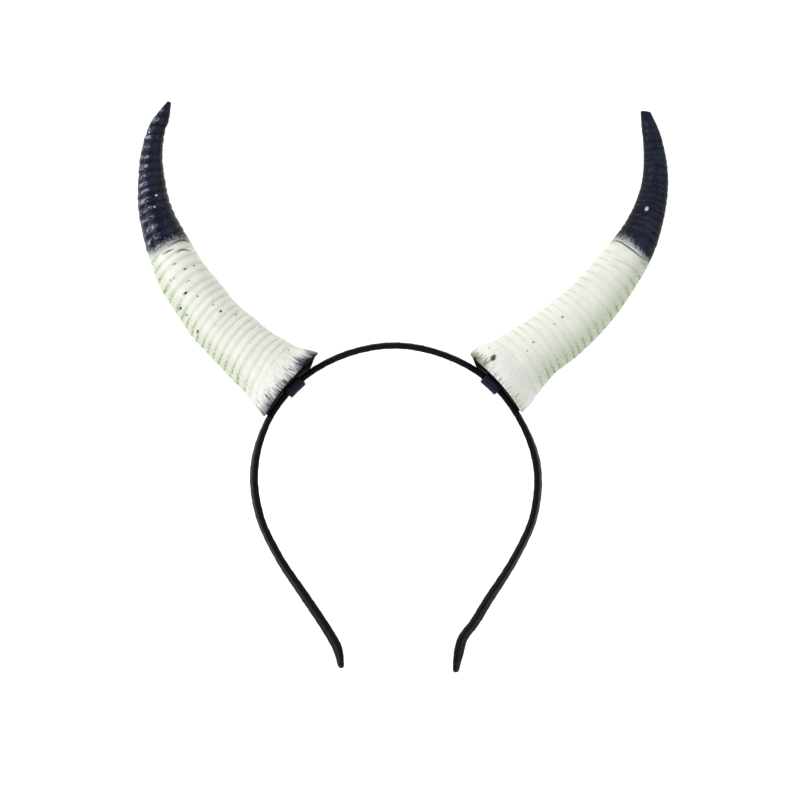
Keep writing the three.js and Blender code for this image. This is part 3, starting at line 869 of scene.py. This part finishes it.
def horn_material(name, look):
    """Hand-painted foam: cream with a stippled black upper part; its grey rings and green edges are painted shade,
    and the glints on the black are painted highlights.
    """
    material, shader = new_material(name)
    put, attribute, maths, noise, noise_round, spread, mix, bump = node_tools(material)
    grain = noise(900.0, 4.0, 0.7)
    stipple = noise(2000.0, 2.0, 0.75)
    coarse = noise(120.0, 3.0, 0.6)
    speck = noise(1500.0, 2.0, 0.5)
    fibre = noise_round(1.0, 0.006, "length", 42.0, 3.0, 0.65)
    scratch = noise_round(0.5, 0.36, "run", 8.0, 4.0, 0.65)
    sheen = noise_round(0.7, 0.09, "run", 5.0, 1.0, 0.5)
    outer = attribute("outer")
    crease = attribute("crease")
    wave = attribute("wave")
    flare = spread(attribute("along"), 0.03, 0.12, 1.0, 0.0)
    ringed = spread(attribute("along"), 0.03, 0.08)
    shade = mix(spread(coarse, 0.35, 0.7), colour(244, 245, 236), colour(237, 238, 227))
    # Painted shade: soft grey between the rings, and a thin dark line in each groove.
    valley = maths("MULTIPLY", spread(wave, 0.75, 0.1), ringed)
    patch = spread(coarse, 0.3, 0.62, 0.55, 1.0)
    shade = mix(maths("MULTIPLY", maths("MULTIPLY", valley, patch), look["ring_tone"]), shade, colour(206, 208, 196))
    side_line = maths("ADD", spread(outer, 0.3, 0.05, 0.0, 0.7), spread(outer, 0.8, 1.0, 0.0, 0.6))
    shade = mix(maths("MULTIPLY", maths("MULTIPLY", crease, side_line), look["line_tone"]), shade, colour(150, 155, 145))
    # Painted shade: green and grey towards the two edges, and olive in the grooves near the outer edge.
    green = maths("MULTIPLY", spread(outer, look["green_from"], 1.0), spread(flare, 0.0, 1.0, 1.0, 0.4))
    shade = mix(maths("MULTIPLY", green, look["green_tone"]), shade, colour(190, 206, 174))
    shade = mix(maths("MULTIPLY", spread(outer, 0.22, 0.0), 0.35), shade, colour(222, 229, 200))
    side_green = maths("MULTIPLY", spread(outer, 0.72, 1.0), spread(grain, 0.4, 0.6))
    shade = mix(maths("MULTIPLY", side_green, 0.4), shade, colour(160, 178, 128))
    low_wave = maths("MULTIPLY", spread(wave, 0.55, 0.05), spread(outer, 0.72, 0.97))
    olive = maths("MULTIPLY", maths("MULTIPLY", low_wave, spread(grain, 0.42, 0.58)), ringed)
    shade = mix(maths("MULTIPLY", olive, 0.75), shade, colour(98, 114, 74))
    # The flare is whiter, with fine lengthwise strokes and small dots.
    shade = mix(maths("MULTIPLY", flare, 0.55), shade, colour(246, 247, 242))
    strokes = maths("MULTIPLY", flare, spread(fibre, 0.5, 0.36))
    shade = mix(maths("MULTIPLY", strokes, look["stroke_tone"]), shade, colour(168, 178, 166))
    shade = mix(maths("MULTIPLY", spread(speck, 0.67, 0.73), 0.3), shade, colour(128, 130, 116))
    # Dry-brushed paint along the rim, thinning out in strokes.
    rim = attribute("rim")
    brushed = maths("ADD", rim, maths("MULTIPLY", maths("SUBTRACT", fibre, 0.5), 2.4))
    brushed = maths("ADD", brushed, maths("MULTIPLY", maths("SUBTRACT", stipple, 0.5), 0.7))
    base = mix(maths("MULTIPLY", spread(brushed, 0.3, 0.75), look["rim_haze"]), shade, look["rim_colour"])
    solid = maths("ADD", rim, maths("MULTIPLY", maths("SUBTRACT", stipple, 0.5), 0.5))
    solid = maths("ADD", solid, maths("MULTIPLY", maths("SUBTRACT", fibre, 0.5), 0.6))
    base = mix(spread(solid, look["rim_solid"] - 0.1, look["rim_solid"] + 0.06), base, look["rim_black"])
    base = mix(maths("MULTIPLY", attribute("pit"), 0.95), base, colour(40, 42, 40))
    # The black upper part ends in a stippled, dry-brushed edge.
    paint = attribute("paint")
    stippled = maths("ADD", paint, maths("MULTIPLY", maths("SUBTRACT", stipple, 0.5), 1.9))
    stippled = maths("ADD", stippled, maths("MULTIPLY", maths("SUBTRACT", grain, 0.5), 0.9))
    cover = spread(stippled, 0.34, 0.74)
    haze = maths("MULTIPLY", spread(paint, -0.15, 0.62), 0.75)
    base = mix(haze, base, colour(104, 116, 128))
    dark = mix(spread(coarse, 0.3, 0.7), look["navy"], look["deep"])
    # Painted shade: the black goes deeper towards the inner side and the outer edge.
    dark = mix(maths("MULTIPLY", spread(outer, look["inner_black"], 0.0), 0.9), dark, colour(4, 4, 7))
    dark = mix(maths("MULTIPLY", spread(outer, 0.68, 0.97), look["outer_black"]), dark, colour(4, 4, 7))
    # Lighter navy on the ridge crests: partly rubbed wear and scratches, partly painted sheen.
    worn = maths("MULTIPLY", spread(wave, 0.2, 0.9), spread(scratch, 0.5, 0.66))
    # Painted highlights: white streaks on the crests towards the outer side.
    highlight_streak = maths("MULTIPLY", spread(outer, 0.52, 0.7), spread(outer, 0.99, 0.9))
    highlight_streak = maths("MULTIPLY", highlight_streak, maths("MULTIPLY", spread(wave, 0.5, 0.95), spread(scratch, 0.54, 0.62)))
    dark = mix(maths("MULTIPLY", worn, look["worn"]), dark, look["worn_colour"])
    # Painted shade: darker in the grooves.
    dark = mix(maths("MULTIPLY", crease, 0.6), dark, colour(7, 7, 11))
    dark = mix(maths("MULTIPLY", highlight_streak, look["highlight_streaks"]), dark, colour(196, 206, 222))
    # Painted highlights: short light arcs on the crests of the glossy ridges.
    highlight_arc = maths("MULTIPLY", spread(outer, 0.5, 0.66), spread(outer, 0.96, 0.86))
    highlight_arc = maths("MULTIPLY", highlight_arc, maths("MULTIPLY", spread(wave, 0.72, 0.98), spread(sheen, 0.5, 0.6)))
    dark = mix(maths("MULTIPLY", highlight_arc, look["highlight_arcs"]), dark, colour(150, 160, 182))
    base = mix(cover, base, dark)
    # Painted highlights: small white glints.
    base = mix(attribute("fleck"), base, colour(205, 210, 236))
    put(shader.inputs["Base Color"], base)
    put(shader.inputs["Roughness"], mix_value(material, cover, 0.62, look["gloss"]))
    shader.inputs["Specular IOR Level"].default_value = look["shine"]
    height = maths("ADD", maths("MULTIPLY", grain, 0.5), maths("MULTIPLY", scratch, look["wrinkle"]))
    put(shader.inputs["Normal"], bump(height, 0.00022, 0.6))
    return material


def mix_value(material, share, first, second):
    node = material.node_tree.nodes.new("ShaderNodeMix")
    material.node_tree.links.new(share, node.inputs[0])
    node.inputs[2].default_value = first
    node.inputs[3].default_value = second
    return node.outputs[0]


def satin_material():
    material, shader = new_material("wound_satin")
    put, attribute, maths, noise, noise_round, spread, mix, bump = node_tools(material)
    lap = attribute("lap")
    thread = noise(2600.0, 2.0, 0.5)
    tone = mix(spread(thread, 0.3, 0.7), colour(9, 9, 12), colour(21, 21, 25))
    # Painted shade: a dark line along the edge where each turn of ribbon laps the one before.
    tone = mix(maths("MULTIPLY", spread(lap, 0.08, 0.0), 0.7), tone, colour(5, 5, 6))
    put(shader.inputs["Base Color"], tone)
    shader.inputs["Roughness"].default_value = 0.5
    shader.inputs["Specular IOR Level"].default_value = 0.09
    put(shader.inputs["Normal"], bump(thread, 0.00006, 0.5))
    return material


def felt_material():
    material, shader = new_material("black_felt")
    put, attribute, maths, noise, noise_round, spread, mix, bump = node_tools(material)
    fluff = noise(1800.0, 4.0, 0.7)
    put(shader.inputs["Base Color"], mix(spread(fluff, 0.3, 0.7), colour(4, 4, 5), colour(17, 17, 20)))
    shader.inputs["Roughness"].default_value = 0.95
    shader.inputs["Specular IOR Level"].default_value = 0.08
    put(shader.inputs["Normal"], bump(fluff, 0.0003, 0.9))
    return material


def strap_material():
    material, shader = new_material("navy_strap")
    put, attribute, maths, noise, noise_round, spread, mix, bump = node_tools(material)
    grain = noise(700.0, 3.0, 0.6)
    put(shader.inputs["Base Color"], mix(spread(grain, 0.3, 0.7), colour(24, 27, 42), colour(36, 41, 60)))
    shader.inputs["Roughness"].default_value = 0.5
    shader.inputs["Specular IOR Level"].default_value = 0.15
    put(shader.inputs["Normal"], bump(grain, 0.0001, 0.5))
    return material


left_seat = make_seat(-1, LEFT_SEAT_TURN, LEFT_SEAT_TILT, LEFT_LOOP_TURN, LEFT_BASE_WIDTH)
right_seat = make_seat(1, RIGHT_SEAT_TURN, RIGHT_SEAT_TILT, RIGHT_LOOP_TURN, RIGHT_BASE_WIDTH)

band = make_band()
horn_left = make_horn(
    "left", -1, LEFT_RISE, LEFT_BASE_WIDTH, LEFT_SECTIONS, left_seat, LEFT_ZONES, -LEFT_RING_SLANT,
    LEFT_PITS, LEFT_GLINTS, LEFT_CRACKS, [], LEFT_PAINT_EDGE, 101, LEFT_LOOK,
)
horn_right = make_horn(
    "right", 1, RIGHT_RISE, RIGHT_BASE_WIDTH, RIGHT_SECTIONS, right_seat, RIGHT_ZONES, -RIGHT_RING_SLANT,
    RIGHT_PITS, RIGHT_GLINTS, RIGHT_CRACKS, RIGHT_FAINT_LINES, RIGHT_PAINT_EDGE, 202, RIGHT_LOOK,
)
loops = [make_loop("left", -1, LEFT_LOOP_TURN), make_loop("right", 1, RIGHT_LOOP_TURN)]
pads = [make_pad("left", -1, LEFT_BASE_WIDTH, left_seat, 7), make_pad("right", 1, RIGHT_BASE_WIDTH, right_seat, 8)]

band.data.materials.append(satin_material())
horn_left.data.materials.append(horn_material("painted_foam_left", LEFT_LOOK))
horn_right.data.materials.append(horn_material("painted_foam_right", RIGHT_LOOK))
felt, strap = felt_material(), strap_material()
for loop in loops:
    loop.data.materials.append(strap)
for pad, width in zip(pads, (LEFT_BASE_WIDTH, RIGHT_BASE_WIDTH)):
    pad.data.materials.append(felt)

# Floor, light and camera.
FLOOR_SIZE = 6.0
floor_mesh = bpy.data.meshes.new("floor")
half = FLOOR_SIZE / 2
floor_mesh.from_pydata([(-half, -half, 0), (half, -half, 0), (half, half, 0), (-half, half, 0)], [], [(0, 1, 2, 3)])
floor = bpy.data.objects.new("floor", floor_mesh)
bpy.context.scene.collection.objects.link(floor)
floor.location.z = -0.0004
floor_material, floor_shader = new_material("white_floor")
floor_shader.inputs["Base Color"].default_value = (0.4, 0.4, 0.4, 1)
floor_shader.inputs["Roughness"].default_value = 0.9
floor_shader.inputs["Emission Color"].default_value = (1, 1, 1, 1)
floor_shader.inputs["Emission Strength"].default_value = 0.9
floor_mesh.materials.append(floor_material)

world = bpy.data.worlds.new("studio")
world.use_nodes = True
world.node_tree.nodes["Background"].inputs["Color"].default_value = (1, 1, 1, 1)
world.node_tree.nodes["Background"].inputs["Strength"].default_value = 0.3
bpy.context.scene.world = world


def add_light(name, place, size, power):
    lamp = bpy.data.lights.new(name, "AREA")
    lamp.shape = "RECTANGLE"
    lamp.size, lamp.size_y = size
    lamp.energy = power
    holder = bpy.data.objects.new(name, lamp)
    bpy.context.scene.collection.objects.link(holder)
    holder.location = place
    aim = -np.array(place)
    holder.rotation_mode = "QUATERNION"
    from mathutils import Vector

    holder.rotation_quaternion = Vector(aim).to_track_quat("-Z", "Y")
    return holder


add_light("key_left", (-1.0, 0.3, 0.7), (0.14, 0.8), 10.5)
add_light("fill_right", (1.1, 0.7, 1.0), (1.2, 1.2), 9.0)
add_light("low_front", (0.1, -1.2, 0.7), (1.2, 0.5), 6.0)

camera_data = bpy.data.cameras.new("camera")
camera_data.sensor_width = SENSOR_WIDTH
camera_data.lens = SENSOR_WIDTH * FOCAL_PIXELS / IMAGE_PIXELS
camera_data.clip_start = 0.05
camera = bpy.data.objects.new("camera", camera_data)
bpy.context.scene.collection.objects.link(camera)
camera.location = (CAMERA_X * MM, CAMERA_Y * MM, CAMERA_HEIGHT * MM)
camera.rotation_euler = (0, 0, 0)
bpy.context.scene.camera = camera
bpy.context.scene.view_settings.view_transform = "Standard"
